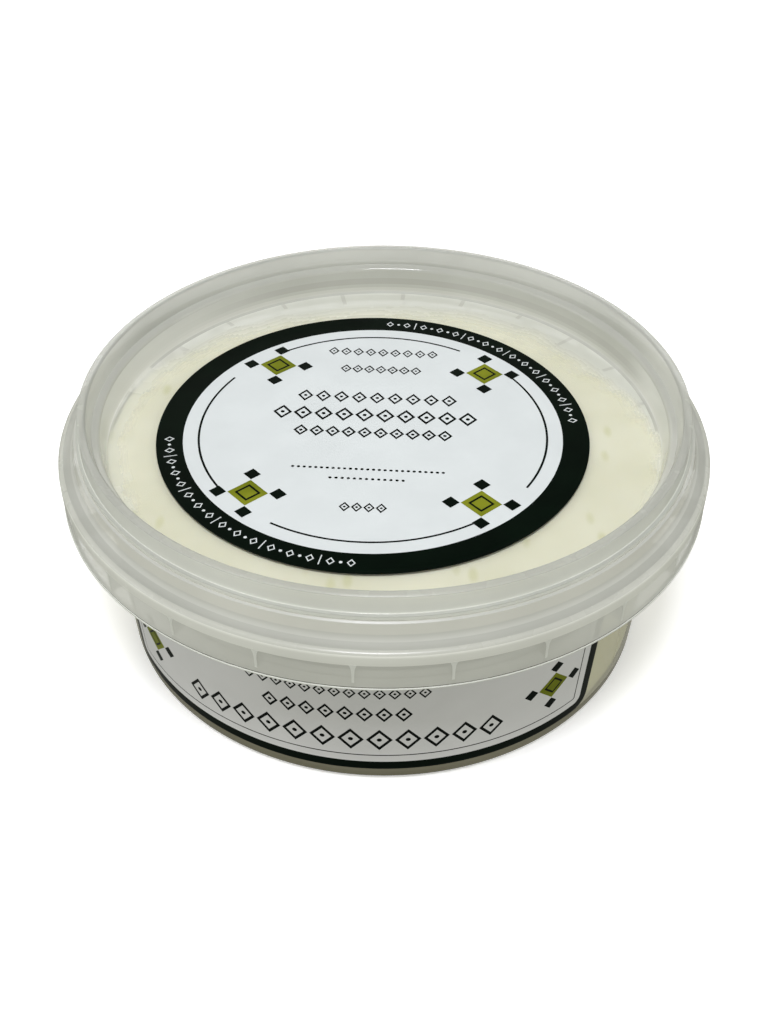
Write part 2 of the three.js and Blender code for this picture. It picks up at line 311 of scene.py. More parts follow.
# Steps along a dot, a lozenge, a rounded corner, a quarter of the lid's line, and the wall label
DOT_STEPS = 12
LOZENGE_STEPS = 8
CORNER_STEPS = 7
LINE_STEPS = 59
SIDE_LABEL_STEPS = 119
LID_LABEL_BOTTOM = 39.4
LID_LABEL_RADIUS = 40.0
LID_LABEL_OFFSET = -2.1
LID_FIELD_RADIUS = 35.1
LID_LINE_RADIUS = 32.2
LID_LINE_WIDTH = 0.42
LID_LINE_SHARE = 0.72
LID_RING_RADIUS = (LID_LABEL_RADIUS + LID_FIELD_RADIUS) / 2
# Beads on the ring: how many either side of the middle one, their pitch, every how many a bar
# stands instead, half sizes of a bar, half sizes and stroke of a lozenge, radius of a dot
LID_BEADS = 15
LID_BEAD_PITCH = 1.75
LID_BEADS_PER_BAR = 6
LID_BEAD_BAR = (0.1, 1.2)
LID_BEAD_LOZENGE = (0.75, 0.95, 0.2)
LID_BEAD_DOT = 0.3
LID_LABEL_TURN = math.radians(-3.9)
# Rows of lozenges on the lid label: height on the label, half length, half width and half height
# of one lozenge, stroke
LID_ROWS = (
    (26.5, 11.0, 1.1, 1.4, 0.3),
    (20.3, 8.0, 1.1, 1.4, 0.3),
    (10.4, 15.3, 1.5, 1.9, 0.42),
    (4.6, 19.3, 1.8, 2.2, 0.48),
    (-1.0, 14.8, 1.4, 1.7, 0.42),
    (-23.0, 4.2, 1.0, 1.3, 0.3),
)
# Rows of dots: height, half length, pitch, radius of a dot
LID_DOT_ROWS = ((-12.2, 13.5, 1.05, 0.3), (-15.0, 6.5, 1.05, 0.3))
LID_TILE_PLACE = 20.4
LID_TILE_SIZE = 5.8
SIDE_LABEL_BOTTOM = 3.2
SIDE_LABEL_TOP = 31.6
SIDE_LABEL_CENTRE = math.radians(-9)
SIDE_LABEL_HALF_ANGLE = math.radians(56)
SIDE_LABEL_CORNER = 3.0
# A field inside the label has a corner smaller by this share of its inset, down to a least one
SIDE_CORNER_SHRINK = 0.7
SIDE_CORNER_LEAST = 0.4
SIDE_BORDER = 2.05
SIDE_LINE_INSET = 3.75
SIDE_LINE_WIDTH = 0.26
SIDE_LABEL_RADIUS = BASE_RADIUS + WALL_SLOPE * (SIDE_LABEL_BOTTOM + SIDE_LABEL_TOP) / 2
# Rows of lozenges on the wall label, in the same order
SIDE_ROWS = (
    (23.6, 16.0, 1.1, 1.4, 0.3),
    (18.2, 13.0, 1.5, 1.9, 0.42),
    (11.4, 29.5, 2.3, 2.8, 0.55),
)
SIDE_TILE_PLACE = 39.5
SIDE_TILE_HEIGHT = 15.5
SIDE_TILE_SIZE = 5.2
# A tile as shares of its size: heart, ring in the heart and its stroke, petals and how far out
TILE_HEART, TILE_RING, TILE_STROKE, TILE_PETAL, TILE_REACH = 0.62, 0.4, 0.07, 0.27, 0.92
# Lozenges in a row: pitch as a share of their half width, dot as a share of their stroke
ROW_PITCH = 2.25
ROW_DOT = 0.8
# Inks: number, name, darker and lighter tone
WHITE, GREEN, INK, OLIVE, SHADED_WALL_WHITE = range(5)
INKS = {
    WHITE: ("label_white", (214, 219, 220), (218, 223, 224)),
    GREEN: ("label_green", (1, 9, 4), (3, 15, 7)),
    INK: ("label_ink", (6, 10, 8), (12, 17, 14)),
    OLIVE: ("label_olive", (104, 112, 22), (128, 134, 34)),
    # Painted shade: the wall label's white is set darker than the lid label's, as it stands in the
    # collar's shade
    SHADED_WALL_WHITE: ("wall_label_white", (213, 213, 213), (217, 217, 217)),
}
# Sockets of a colour mix: first and second colour, result
MIX_FIRST, MIX_SECOND, MIX_RESULT = 6, 7, 2


# ---------------------------------------------------------------- mesh helpers

def wall_radius(height):
    """Outer radius of the tub's wall at a height."""
    return BASE_RADIUS + WALL_SLOPE * height


def unit(vector):
    return vector / np.linalg.norm(vector)


def filleted(corners, steps=FILLET_STEPS):
    """Profile points of [radius, height, rounding] corners, each rounding drawn as an arc."""
    points = []
    for place, (radius, height, rounding) in enumerate(corners):
        here = np.array((radius, height))
        if not rounding or place in (0, len(corners) - 1):
            points.append(here)
            continue
        back = unit(np.array(corners[place - 1][:2]) - here)
        onward = unit(np.array(corners[place + 1][:2]) - here)
        half = math.acos(np.clip(back @ onward, -1, 1)) / 2
        centre = here + unit(back + onward) * rounding / math.sin(half)
        start = here + back * rounding / math.tan(half) - centre
        end = here + onward * rounding / math.tan(half) - centre
        sweep = math.pi - 2 * half
        for step in range(steps + 1):
            part = step / steps
            blend = math.sin((1 - part) * sweep) * start + math.sin(part * sweep) * end
            points.append(centre + blend / math.sin(sweep))
    return points


def turned(profile, sides=SIDES):
    """Vertices and faces of a profile turned round Z, from the axis out below and back above."""
    vertices, faces, rings = [], [], []
    for radius, height in profile:
        first = len(vertices)
        if radius < ON_AXIS:
            vertices.append((0, 0, height))
            rings.append([first] * sides)
            continue
        for side in range(sides):
            angle = 2 * math.pi * side / sides
            vertices.append((radius * math.sin(angle), -radius * math.cos(angle), height))
        rings.append(list(range(first, first + sides)))
    for lower, upper in zip(rings, rings[1:]):
        for side in range(sides):
            following = (side + 1) % sides
            corners = [lower[side], lower[following], upper[following], upper[side]]
            faces.append(list(dict.fromkeys(corners)))
    return vertices, faces


def mesh_object(name, vertices, faces, materials, face_materials=None, sharp=SHARP_ANGLE):
    """A smooth-shaded mesh from millimetre vertices, with its creases kept sharp."""
    mesh = bpy.data.meshes.new(name)
    mesh.from_pydata([tuple(c * MM for c in vertex) for vertex in vertices], [], faces)
    for material in materials:
        mesh.materials.append(material)
    if face_materials is not None:
        mesh.polygons.foreach_set("material_index", face_materials)
    mesh.shade_smooth()
    mesh.set_sharp_from_angle(angle=sharp)
    mesh.update()
    piece = bpy.data.objects.new(name, mesh)
    bpy.context.scene.collection.objects.link(piece)
    return piece


def stands_for(piece, node):
    """The piece takes the place of a node of the frame."""
    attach(piece, "root")
    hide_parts(node)
    return piece


# ---------------------------------------------------------------- materials

def new_material(name):
    """A material with its shader, and a function that adds a node to it."""
    material = bpy.data.materials.new(name)
    material.use_nodes = True
    tree = material.node_tree
    shader = tree.nodes["Principled BSDF"]

    def add(kind, **values):
        node = tree.nodes.new(kind)
        for key, value in values.items():
            if key in node.inputs:
                node.inputs[key].default_value = value
            else:
                setattr(node, key, value)
        return node

    return material, shader, add, tree.links.new


def srgb(red, green, blue):
    """Linear colour of a screen colour given from 0 to 255."""
    def linear(value):
        value /= 255
        return value / 12.92 if value <= 0.04045 else ((value + 0.055) / 1.055) ** 2.4
    return (linear(red), linear(green), linear(blue), 1.0)


def mottled(add, link, low, high, scale, detail=3.0, spread=(0.35, 0.65)):
    """A colour that drifts between two, the noise that moves it, and the place it is read at."""
    place = add("ShaderNodeTexCoord")
    clouds = add("ShaderNodeTexNoise", Scale=scale, Detail=detail)
    ramp = add("ShaderNodeValToRGB")
    ramp.color_ramp.elements[0].position = spread[0]
    ramp.color_ramp.elements[1].position = spread[1]
    ramp.color_ramp.elements[0].color = low
    ramp.color_ramp.elements[1].color = high
    link(place.outputs["Object"], clouds.inputs["Vector"])
    link(clouds.outputs["Fac"], ramp.inputs["Fac"])
    return ramp.outputs["Color"], clouds.outputs["Fac"], place.outputs["Object"]


def roughened(add, link, place, shader, low, high, scale):
    """Roughness that drifts between two values. Gives back its grain."""
    grain = add("ShaderNodeTexNoise", Scale=scale, Detail=2.0)
    spread = add("ShaderNodeMapRange")
    spread.inputs["To Min"].default_value = low
    spread.inputs["To Max"].default_value = high
    link(place, grain.inputs["Vector"])
    link(grain.outputs["Fac"], spread.inputs["Value"])
    link(spread.outputs["Result"], shader.inputs["Roughness"])
    return grain.outputs["Fac"]


def bumped(add, link, height, shader, strength, distance):
    bump = add("ShaderNodeBump", Strength=strength, Distance=distance)
    link(height, bump.inputs["Height"])
    link(bump.outputs["Normal"], shader.inputs["Normal"])


def lit_toward_sides(add, link, place, colour, side_light_tone, left, right):
    """The colour, drifting toward the left and the right of the tub to a lighter tone, which is painted
    light.
    """
    split = add("ShaderNodeSeparateXYZ")
    either = add("ShaderNodeMath", operation="ADD")
    mix = add("ShaderNodeMix", data_type="RGBA")
    mix.inputs[MIX_SECOND].default_value = srgb(*side_light_tone)
    link(place, split.inputs["Vector"])
    for socket, (side, (start, end)) in enumerate(((-1, left), (1, right))):
        drift = add("ShaderNodeMapRange", interpolation_type="SMOOTHSTEP")
        drift.inputs["From Min"].default_value = side * start * MM
        drift.inputs["From Max"].default_value = side * end * MM
        link(split.outputs["X"], drift.inputs["Value"])
        link(drift.outputs["Result"], either.inputs[socket])
    link(either.outputs["Value"], mix.inputs["Factor"])
    link(colour, mix.inputs[MIX_FIRST])
    return mix.outputs[MIX_RESULT]


def translucent(name, low, high, opacity, roughness, sides=None):
    """Milky polypropylene: lets part of the light straight through and scatters the rest."""
    material, shader, add, link = new_material(name)
    colour, _, place = mottled(add, link, srgb(*low), srgb(*high), scale=55)
    # Painted light: some plastics are made lighter toward the sides of the tub
    if sides:
        colour = lit_toward_sides(add, link, place, colour, *sides)
    link(colour, shader.inputs["Base Color"])
    shader.inputs["Alpha"].default_value = opacity
    shader.inputs["IOR"].default_value = 1.49
    shader.inputs["Specular IOR Level"].default_value = 0.5
    grain = roughened(add, link, place, shader, roughness - 0.04, roughness + 0.06, scale=240)
    bumped(add, link, grain, shader, strength=0.12, distance=0.02 * MM)
    return material


def plastic(name):
    return translucent(name, *PLASTICS[name], SIDE_LIGHT_TONES.get(name))


def flecked(add, link, place, colour, tint):
    """Scattered small flecks of another tint, longer than wide, in one cell out of two."""
    stretch = add("ShaderNodeMapping")
    stretch.inputs["Scale"].default_value = (1.0, 0.45, 1.0)
    cells = add("ShaderNodeTexVoronoi", Scale=240.0)
    size = add("ShaderNodeMapRange")
    size.inputs["From Min"].default_value = 0.1
    size.inputs["From Max"].default_value = 0.26
    size.inputs["To Min"].default_value = 0.65
    size.inputs["To Max"].default_value = 0.0
    chosen = add("ShaderNodeMath", operation="GREATER_THAN")
    chosen.inputs[1].default_value = 0.5
    share = add("ShaderNodeMath", operation="MULTIPLY")
    parts = add("ShaderNodeSeparateColor")
    mix = add("ShaderNodeMix", data_type="RGBA")
    mix.inputs[MIX_SECOND].default_value = tint
    link(place, stretch.inputs["Vector"])
    link(stretch.outputs["Vector"], cells.inputs["Vector"])
    link(cells.outputs["Distance"], size.inputs["Value"])
    link(cells.outputs["Color"], parts.inputs["Color"])
    link(parts.outputs["Red"], chosen.inputs[0])
    link(chosen.outputs["Value"], share.inputs[0])
    link(size.outputs["Result"], share.inputs[1])
    link(share.outputs["Value"], mix.inputs["Factor"])
    link(colour, mix.inputs[MIX_FIRST])
    return mix.outputs[MIX_RESULT]


def cream_material():
    """Thick garlic cream, pale yellow, with a soft sheen and a fine crumb."""
    material, shader, add, link = new_material("garlic_cream")
    colour, _, place = mottled(
        add, link, srgb(219, 218, 193), srgb(227, 226, 204), scale=70, detail=2.5)
    colour = flecked(add, link, place, colour, srgb(203, 203, 158))
    link(colour, shader.inputs["Base Color"])
    shader.inputs["Subsurface Weight"].default_value = 0.15
    shader.inputs["Subsurface Radius"].default_value = (1.0, 0.8, 0.5)
    shader.inputs["Subsurface Scale"].default_value = 0.002
    roughened(add, link, place, shader, low=0.38, high=0.6, scale=120)
    crumb = add("ShaderNodeTexNoise", Scale=130.0, Detail=1.0)
    link(place, crumb.inputs["Vector"])
    bumped(add, link, crumb.outputs["Fac"], shader, strength=0.3, distance=0.2 * MM)
    return material


def print_material(name, low, high, roughness=0.3):
    """Printed film: one ink with a faint drift of tone and a satin, slightly waved surface."""
    material, shader, add, link = new_material(name)
    colour, clouds, place = mottled(add, link, srgb(*low), srgb(*high), scale=120)
    link(colour, shader.inputs["Base Color"])
    shader.inputs["Specular IOR Level"].default_value = 0.03
    roughened(add, link, place, shader, roughness - 0.05, roughness + 0.06, scale=400)
    bumped(add, link, clouds, shader, strength=0.05, distance=0.02 * MM)
    return material


def floor_material():
    """Plain pale ground, which shines a little of itself."""
    material, shader, add, link = new_material("pale_floor")
    colour, _, _ = mottled(add, link, srgb(250, 250, 250), srgb(253, 253, 253), scale=4)
    link(colour, shader.inputs["Base Color"])
    shader.inputs["Roughness"].default_value = 0.9
    shader.inputs["Specular IOR Level"].default_value = 0.1
    shader.inputs["Emission Color"].default_value = (1, 1, 1, 1)
    shader.inputs["Emission Strength"].default_value = 0.35
    return material


# ---------------------------------------------------------------- tub

def skirt_radius(height):
    """Outer radius of the skirt, which widens a little toward the ledge."""
    up = (height - COLLAR_BOTTOM) / (LEDGE_UNDERSIDE - COLLAR_BOTTOM)
    return SKIRT_RADIUS + up * (COLLAR_RADIUS - SKIRT_RADIUS)


def tub_profile():
    """Section of the tub: radius, height and rounding of its corners."""
    ledge_inner = wall_radius(LEDGE_UNDERSIDE)
    skirt_inner = COLLAR_RADIUS - SKIRT_WALL
    guard_outer = GUARD_TOP_RADIUS + GUARD_PROUD
    guard_inner = GUARD_TOP_RADIUS - GUARD_WALL
    seal_outer = SEAL_TOP_RADIUS + SEAL_WALL
    floor = FOOT_RECESS + TUB_WALL
    return filleted([
        (0, FOOT_RECESS, 0),
        (FOOT_INNER_RADIUS, FOOT_RECESS, FOOT_RECESS_ROUND),
        (FOOT_INNER_RADIUS + FOOT_CHAMFER, 0, WALL_ROUND),
        (wall_radius(0), 0, FOOT_CORNER),
        (wall_radius(SIDE_LABEL_BOTTOM), SIDE_LABEL_BOTTOM, 0),
        (ledge_inner, LEDGE_UNDERSIDE, WALL_ROUND),
        (skirt_inner, LEDGE_UNDERSIDE, WALL_ROUND),
        (skirt_inner, COLLAR_BOTTOM, EDGE_ROUND),
        (COLLAR_RADIUS, COLLAR_BOTTOM, CRISP_ROUND),
        (COLLAR_RADIUS, BEAD_TOP - BEAD_FACET, 0),
        (SKIRT_RADIUS, BEAD_TOP, 0),
        (skirt_radius(BEAD_TOP + EDGE_SHADE_BAND), BEAD_TOP + EDGE_SHADE_BAND, 0),
        (COLLAR_RADIUS, LEDGE_UNDERSIDE, 0),
        (COLLAR_RADIUS, COLLAR_TOP, COLLAR_CORNER),
        (GUARD_FOOT_RADIUS, COLLAR_TOP, GUARD_FILLET),
        (guard_outer, GUARD_TOP - GUARD_BEVEL_DROP, FINE_ROUND),
        (guard_outer - GUARD_BEVEL, GUARD_TOP, CRISP_ROUND),
        (guard_inner, GUARD_TOP, EDGE_ROUND),
        (guard_inner, CHANNEL_FLOOR, CORNER_ROUND),
        (seal_outer, CHANNEL_FLOOR, CORNER_ROUND),
        (seal_outer, SEAL_TOP, CORNER_ROUND),
        (SEAL_TOP_RADIUS, SEAL_TOP, CORNER_ROUND),
        (ledge_inner - TUB_WALL, LEDGE_UNDERSIDE, SEAL_ROUND),
        (wall_radius(floor) - TUB_WALL, floor, FLOOR_ROUND),
        (0, floor, 0),
    ])


def rib_width(height):
    """Thickness of a rib, flared where it grows out of the ledge."""
    below_top = (LEDGE_UNDERSIDE - height) / RIB_FLARE
    return RIB_WIDTH + RIB_FLARE_WIDTH * math.exp(-RIB_FLARE_FALL * below_top)


def rib_mesh(angle, first):
    """One rib between wall and skirt, its vertices counted from a first number."""
    inner = wall_radius(LEDGE_UNDERSIDE) - RIB_BITE
    flare_foot = LEDGE_UNDERSIDE - RIB_FLARE
    heights = np.concatenate((
        np.linspace(RIB_BOTTOM, flare_foot, RIB_LOWER_LEVELS),
        np.linspace(flare_foot, LEDGE_UNDERSIDE + RIB_BITE, RIB_FLARE_LEVELS)[1:]))
    vertices, faces = [], []
    for height in heights:
        half = rib_width(height) / 2
        outer = skirt_radius(height) + RIB_PROUD
        for radius, side in ((inner, -half), (outer, -half), (outer, half), (inner, half)):
            vertices.append((
                radius * math.sin(angle) + side * math.cos(angle),
                -radius * math.cos(angle) + side * math.sin(angle),
                height))
    for level in range(len(heights) - 1):
        for corner in range(4):
            low, high = first + 4 * level, first + 4 * level + 4
            following = (corner + 1) % 4
            faces.append([low + corner, low + following, high + following, high + corner])
    faces.append([first + 3, first + 2, first + 1, first])
    top = first + 4 * (len(heights) - 1)
    faces.append([top, top + 1, top + 2, top + 3])
    return vertices, faces


def middle_of(face, vertices):
    """Angle, radius and height of a face's middle."""
    x, y, height = np.mean([vertices[corner] for corner in face], axis=0)
    return math.atan2(x, -y), math.hypot(x, y), height


def tub_plastic_of(face, vertices):
    """Which of the tub's plastics a turned face gets, several of them copies of one plastic painted
    lighter or darker as light and shade.
    """
    _, radius, height = middle_of(face, vertices)
    out = radius - (COLLAR_RADIUS - COLLAR_CORNER)
    up = height - (COLLAR_TOP - COLLAR_CORNER)
    bevel_foot = GUARD_TOP - GUARD_BEVEL_ZONE
    # Above the ledge's underside, faces that look up get the darker copies, which is painted shade
    if height > LEDGE_UNDERSIDE:
        if out > 0:
            return "ledge_edge_shaded_plastic" if up > LEDGE_EDGE_SLOPE * out else "ledge_plastic"
        if radius > GUARD_TOP_RADIUS + GUARD_FOOT_OUT and height < GUARD_FOOT_TOP:
            on_ledge = height < COLLAR_TOP + LEDGE_TOP_REACH
            return "ledge_top_shaded_plastic" if on_ledge else "guard_foot_shaded_plastic"
        on_bevel = height > bevel_foot and radius > GUARD_TOP_RADIUS - GUARD_BEVEL
        return "guard_edge_shaded_plastic" if on_bevel else "collar_plastic"
    if radius <= wall_radius(LEDGE_UNDERSIDE):
        # Below the label the wall is darker, which is painted shade
        return "wall_plastic" if height > SIDE_LABEL_BOTTOM else "foot_plastic"
    # The bead is painted lighter and the band above it darker: painted light and painted shade
    if height < BEAD_TOP:
        return "bead_lit_plastic"
    return "edge_shade_line_plastic" if height < BEAD_TOP + EDGE_SHADE_BAND else "skirt_side_lit_plastic"


def make_tub():
    """The turned tub with its ribs, whose outer ends have a plastic of their own."""
    vertices, faces = turned(tub_profile())
    names = [name for name in PLASTICS if not name.startswith("lid")]
    which = [names.index(tub_plastic_of(face, vertices)) for face in faces]
    for rib in range(RIB_COUNT):
        angle = RIB_PHASE + 2 * math.pi * rib / RIB_COUNT
        more_vertices, more_faces = rib_mesh(angle, len(vertices))
        vertices += more_vertices
        faces += more_faces
        # A rib's faces go round its four sides, the second of which is its outer end, level by
        # level, and its bottom and top come last
        for place in range(len(more_faces)):
            outer_end = place % 4 == 1 and place < len(more_faces) - 2
            which.append(names.index("rib_plastic" if outer_end else "skirt_side_lit_plastic"))
    piece = mesh_object("tub_shell", vertices, faces, [plastic(name) for name in names], which)
    return stands_for(piece, "tub")


# ---------------------------------------------------------------- lid

def lid_profile():
    """Section of the lid, in the same form as the tub's."""
    plug_top = SEAL_TOP_RADIUS - CLEARANCE
    channel_top = SEAL_TOP + CLEARANCE
    skirt_outer = GUARD_TOP_RADIUS - GUARD_WALL - CLEARANCE
    lip_bottom = GUARD_TOP + LIP_GAP
    recess_slope = (RECESS_TOP_RADIUS - PANEL_RADIUS) / (RECESS_TOP - PANEL_TOP)
    recess = [(PANEL_RADIUS + up * recess_slope, PANEL_TOP + up, 0) for up, _ in RECESS_SHADE_BANDS]
    return filleted([
        (0, PANEL_TOP - LID_WALL, 0),
        (PANEL_RADIUS + LID_WALL, PANEL_TOP - LID_WALL, PANEL_UNDER_ROUND),
        (plug_top, channel_top, EDGE_ROUND),
        (LID_SKIRT_INNER_RADIUS, channel_top, CORNER_ROUND),
        (LID_SKIRT_INNER_RADIUS, LID_SKIRT_BOTTOM, LID_SKIRT_ROUND),
        (skirt_outer, LID_SKIRT_BOTTOM, LID_SKIRT_ROUND),
        (skirt_outer, lip_bottom, FINE_ROUND),
        (LIP_RADIUS, lip_bottom, FINE_ROUND),
        (LIP_RADIUS, LIP_TOP, LIP_RISE),
        (RIM_OUTER_RADIUS, LIP_TOP + LIP_RISE, EDGE_ROUND),
        (RIM_OUTER_RADIUS, RIM_EDGE, EDGE_ROUND),
        (CROWN_RADIUS, RIM_TOP - RIM_SLOPE, CORNER_ROUND),
        (RIM_INNER_RADIUS - RIM_SLOPE, RIM_TOP, RIM_ROUND),
        (RIM_FOOT_RADIUS, RIM_FOOT, RIM_FOOT_ROUND),
        (RECESS_TOP_RADIUS, RECESS_TOP, RECESS_ROUND),
        *reversed(recess),
        (PANEL_RADIUS, PANEL_TOP, PANEL_FILLET),
        (0, PANEL_TOP, 0),
    ])


def over_rib(angle):
    """Whether a strip of the lid, one side wide, lies over a rib of the tub."""
    ribs_on = (angle - RIB_PHASE) * RIB_COUNT / (2 * math.pi)
    return abs(ribs_on - round(ribs_on)) < RIB_COUNT / LID_SIDES / 2


def panel_plastic_name(step):
    return "lid_panel_lit_haze_" + str(step)


def panel_plastic_of(angle, radius):
    """Which plastic the panel has, by its distance from the line where the dip touches it."""
    x, y = radius * math.sin(angle), radius * math.cos(angle)
    place = Vector((x, y, PANEL_PATCH_SEED))
    patch = PANEL_PATCH * noise.noise(place * PANEL_PATCHES_PER_MM)
    wider, centre, width = PANEL_SOFT
    step_width = PANEL_HAZE_STEP * (1 + wider * bell(angle, centre, width))
    inside = contact_radius(angle) + PANEL_HAZE_END - radius - patch
    step = len(PANEL_LIT_HAZE) - 1 - inside / step_width
    short, centre, width = PANEL_THIN
    most = len(PANEL_LIT_HAZE) - 1 - short * bell(angle, centre, width)
    # A darker edge and darker marks over the ribs: painted shade
    if most > HAZE_OPAQUE and step > HAZE_OPAQUE and radius > PANEL_EDGE:
        return "lid_panel_edge_shaded_plastic"
    place = Vector((x, y, RIB_MARK_SEED))
    wander = RIB_MARK_WANDER * noise.noise(place * RIB_MARK_WANDER_PER_MM)
    if most > HAZE_OPAQUE and step > RIB_MARK_FROM + wander and over_rib(angle):
        return "lid_rib_shade_mark_plastic"
    return panel_plastic_name(int(np.clip(step, 0, most)))


def lid_plastic_of(face, vertices):
    """Which of the lid's plastics a face gets, many of them copies of one plastic painted lighter or
    darker as light and shade.
    """
    angle, radius, height = middle_of(face, vertices)
    if height < PANEL_TOP + PANEL_REACH_UP and radius < PANEL_RADIUS + PANEL_REACH_OUT:
        under = height < PANEL_TOP - LID_WALL / 2
        return panel_plastic_name(0) if under else panel_plastic_of(angle, radius)
    if height < RIM_FOOT and radius < RIM_FOOT_RADIUS:
        # The recess wall is painted in bands of light and shade
        for up, name in RECESS_SHADE_BANDS:
            if height < PANEL_TOP + up:
                return name
        in_recess = height < RECESS_TOP - RECESS_END
        return "lid_recess_high_shade_plastic" if in_recess else "lid_foot_plastic"
    # The rim's inside, brim, crown and lip are painted darker and its outer wall lighter: painted shade
    # and light
    if radius < RIM_INNER_RADIUS + RIM_INNER_REACH:
        return "lid_brim_shaded_plastic" if height > BRIM_HEIGHT else "lid_inner_shade_plastic"
    if height > RIM_EDGE - CROWN_REACH:
        return "lid_crown_shaded_plastic"
    below, above = LIP_REACHES
    on_lip = LIP_TOP - below < height < LIP_TOP + above
    return "lid_lip_shaded_plastic" if on_lip else "lid_rim_lit_plastic"


def lid_plastics():
    """The lid's plastics by name, with one for each step of the panel's haze and painted light."""
    plastics = {name: plastic(name) for name in PLASTICS if name.startswith("lid")}
    for step, haze in enumerate(PANEL_LIT_HAZE):
        name = panel_plastic_name(step)
        plastics[name] = translucent(name, *haze)
    return plastics


def make_lid():
    """The turned lid, its panel cut into rings fine enough for the haze and its painted light."""
    profile = lid_profile()
    flat = np.linspace(PANEL_RADIUS - PANEL_FILLET, PANEL_RINGS_FROM, PANEL_RINGS)
    profile = ([np.array((0, PANEL_TOP - LID_WALL))]
               + [np.array((radius, PANEL_TOP - LID_WALL)) for radius in flat[::-1]]
               + profile[1:-1]
               + [np.array((radius, PANEL_TOP)) for radius in flat[1:]]
               + [np.array((0, PANEL_TOP))])
    vertices, faces = turned(profile, LID_SIDES)
    plastics = lid_plastics()
    names = list(plastics)
    which = [names.index(lid_plastic_of(face, vertices)) for face in faces]
    piece = mesh_object("lid_shell", vertices, faces, list(plastics.values()), which)
    return stands_for(piece, "lid")


# ---------------------------------------------------------------- dip

def bell(angle, centre, width):
    """1 at the centre angle, falling to nothing on both sides of it."""
    turn = math.atan2(math.sin(angle - centre), math.cos(angle - centre))
    return math.exp(-((turn / width) ** 2))


def contact_radius(angle):
    """How far out the dip touches the panel."""
    x, y = math.sin(angle), math.cos(angle)
    ragged = sum(
        depth * noise.noise(Vector((fineness * x, fineness * y, seed)))
        for depth, fineness, seed in DIP_RAGGED)
    reach = sum(reach * bell(angle, centre, width) for centre, width, reach in DIP_REACHES)
    return DIP_CONTACT_RADIUS + reach + ragged


def dip_height(radius, angle, edge):
    """Height of the dip's surface, which falls to the wall outside the line of contact."""
    contact = min(contact_radius(angle) + DIP_LAP, edge - CLEARANCE)
    if radius <= contact:
        return DIP_TOP
    outward = (radius - contact) / (edge - contact)
    left = DIP_LEFT_DROP * max(0.0, -math.sin(angle))
    back = DIP_BACK_DROP * bell(angle, DIP_DENT_ANGLE, DIP_DENT_WIDTH)
    place = Vector((radius * math.sin(angle), radius * math.cos(angle), DIP_UNEVEN_SEED))
    uneven = DIP_UNEVEN * noise.noise(place * DIP_UNEVEN_PER_MM)
    return DIP_TOP - (DIP_DROP + left + back + uneven) * outward ** 2 * (3 - 2 * outward)


def make_dip():
    """The dip, turned and then pulled down outside its line of contact."""
    floor = FOOT_RECESS + TUB_WALL - DIP_INTO_WALL
    into = TUB_WALL - DIP_INTO_WALL
    lowest = DIP_TOP - DIP_DROP - DIP_LEFT_DROP - DIP_BACK_DROP - DIP_MARGIN
    edge = wall_radius(DIP_TOP - DIP_DROP) - into
    profile = filleted([
        (0, floor, 0),
        (wall_radius(floor) - into, floor, DIP_FLOOR_ROUND),
        (wall_radius(lowest) - into, lowest, 0),
    ])
    rings = np.concatenate((
        np.linspace(edge, DIP_FLAT_RADIUS, DIP_EDGE_RINGS),
        np.linspace(DIP_FLAT_RADIUS, 0, DIP_FLAT_RINGS)[1:]))
    profile += [np.array((radius, DIP_TOP)) for radius in rings]
    vertices, faces = turned(profile)
    shaped = []
    for x, y, z in vertices:
        if z > lowest:
            radius = math.hypot(x, y)
            z = dip_height(radius, math.atan2(x, -y), edge)
            squeeze = min(1.0, (wall_radius(z) - into) / max(radius, 1.0))
            x, y = x * squeeze, y * squeeze
        shaped.append((x, y, z))
    piece = mesh_object("dip_fill", shaped, faces, [cream_material()])
    return stands_for(piece, "dip")


# ---------------------------------------------------------------- labels

